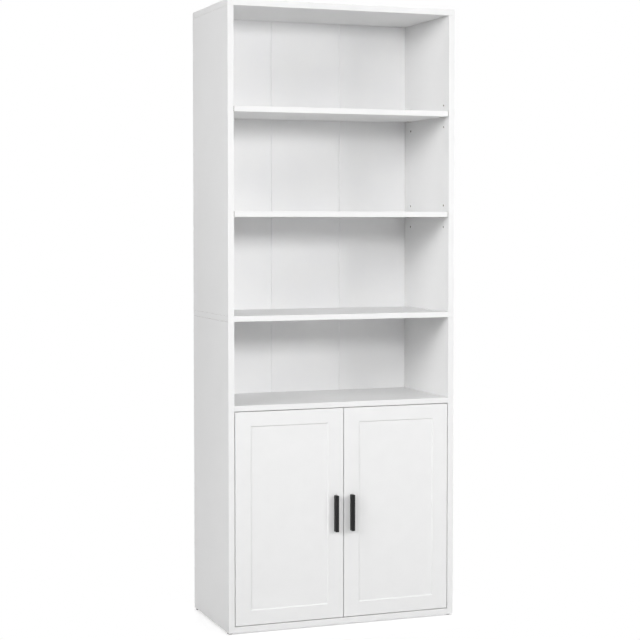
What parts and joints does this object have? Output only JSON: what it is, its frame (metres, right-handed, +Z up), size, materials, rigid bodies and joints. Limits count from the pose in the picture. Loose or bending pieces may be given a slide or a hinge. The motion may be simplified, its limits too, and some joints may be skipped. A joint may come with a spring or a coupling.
{
  "type": "bookcase with cabinet doors",
  "caption": "Tall white bookcase: open bays with loose shelves over a cabinet closed by inset frame-and-panel doors on concealed hinges, with slim black bar pulls.",
  "frame": {"origin": "on the floor under the middle of the overall box, pulls included", "axes": "+Z up, +Y towards the back, so the doors face -Y; +X to the right as seen from the front"},
  "size_m": [0.7, 0.366, 1.8],
  "materials": {
    "board": "melamine-faced particleboard, satin white",
    "door_board": "fibreboard pressed and wrapped in satin white film",
    "back_sheet": "thin fibreboard, white on its face and raw behind",
    "pull_black": "cast zinc, matt black powder coat",
    "hardware_steel": "nickel-plated steel",
    "catch_plastic": "moulded white plastic",
    "magnet": "ferrite magnet between steel poles",
    "glide_plastic": "moulded dark plastic"
  },
  "bodies": {
    "case": {"bottom_panel": "board", "lower_side_left": "board", "lower_side_right": "board", "middle_panel": "board", "upper_side_left": "board", "upper_side_right": "board", "top_panel": "board", "cabinet_top_shelf": "board", "shelf_cabinet": "board", "shelf_open_lower": "board", "shelf_open_upper": "board", "back_panel_lower": "back_sheet", "back_panel_upper": "back_sheet", "support_cabinet_front_left": "hardware_steel", "support_cabinet_front_right": "hardware_steel", "support_cabinet_rear_left": "hardware_steel", "support_cabinet_rear_right": "hardware_steel", "support_open_lower_front_left": "hardware_steel", "support_open_lower_front_right": "hardware_steel", "support_open_lower_rear_left": "hardware_steel", "support_open_lower_rear_right": "hardware_steel", "support_open_upper_front_left": "hardware_steel", "support_open_upper_front_right": "hardware_steel", "support_open_upper_rear_left": "hardware_steel", "support_open_upper_rear_right": "hardware_steel", "glide_front_left": "glide_plastic", "glide_front_right": "glide_plastic", "glide_rear_left": "glide_plastic", "glide_rear_right": "glide_plastic", "hinge_arm_left_upper": "hardware_steel", "hinge_arm_left_lower": "hardware_steel", "hinge_arm_right_upper": "hardware_steel", "hinge_arm_right_lower": "hardware_steel", "catch_body": "catch_plastic", "catch_magnet_left": "magnet", "catch_magnet_right": "magnet"},
    "left_door": {"door_left": "door_board", "pull_left": "pull_black", "strike_left": "hardware_steel", "pull_screw_left_upper": "hardware_steel", "pull_screw_left_lower": "hardware_steel", "hinge_cup_left_upper": "hardware_steel", "hinge_cup_left_lower": "hardware_steel", "hinge_pin_left_upper": "hardware_steel", "hinge_pin_left_lower": "hardware_steel"},
    "right_door": {"door_right": "door_board", "pull_right": "pull_black", "strike_right": "hardware_steel", "pull_screw_right_upper": "hardware_steel", "pull_screw_right_lower": "hardware_steel", "hinge_cup_right_upper": "hardware_steel", "hinge_cup_right_lower": "hardware_steel", "hinge_pin_right_upper": "hardware_steel", "hinge_pin_right_lower": "hardware_steel"}
  },
  "joints": [
    {"name": "left_door_hinge", "type": "hinge", "parent": "case", "child": "left_door", "pos_m": [-0.3075, -0.159, 0.33], "axis": [0, 0, -1], "range_deg": [0, 95]},
    {"name": "right_door_hinge", "type": "hinge", "parent": "case", "child": "right_door", "pos_m": [0.3075, -0.159, 0.33], "axis": [0, 0, 1], "range_deg": [0, 95]}
  ]
}
